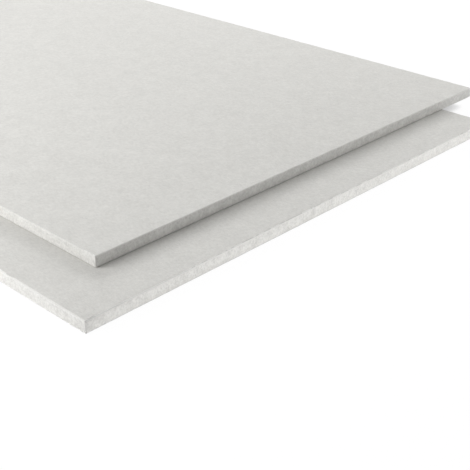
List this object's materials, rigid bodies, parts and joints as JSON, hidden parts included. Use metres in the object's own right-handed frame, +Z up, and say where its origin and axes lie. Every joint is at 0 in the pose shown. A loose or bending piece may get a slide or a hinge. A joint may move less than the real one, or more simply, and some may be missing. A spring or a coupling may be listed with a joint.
{
  "type": "dry screed floor panel",
  "caption": "Flat floor panel of two gypsum fibre boards bonded face to face and offset diagonally, so that a stepped lap joint runs all round for laying a dry floor.",
  "frame": {"origin": "on the floor, under the middle of the whole panel's outline", "axes": "+X along the panel's length, towards the end that has the ledge; +Y across the panel, away from the side that has the ledge; +Z up, out of the top face"},
  "size_m": [1.55, 0.55, 0.02],
  "materials": {
    "gypsum_fibre": "matte"
  },
  "bodies": {
    "root": {"lower_board": "gypsum_fibre", "upper_board": "gypsum_fibre"}
  },
  "joints": []
}
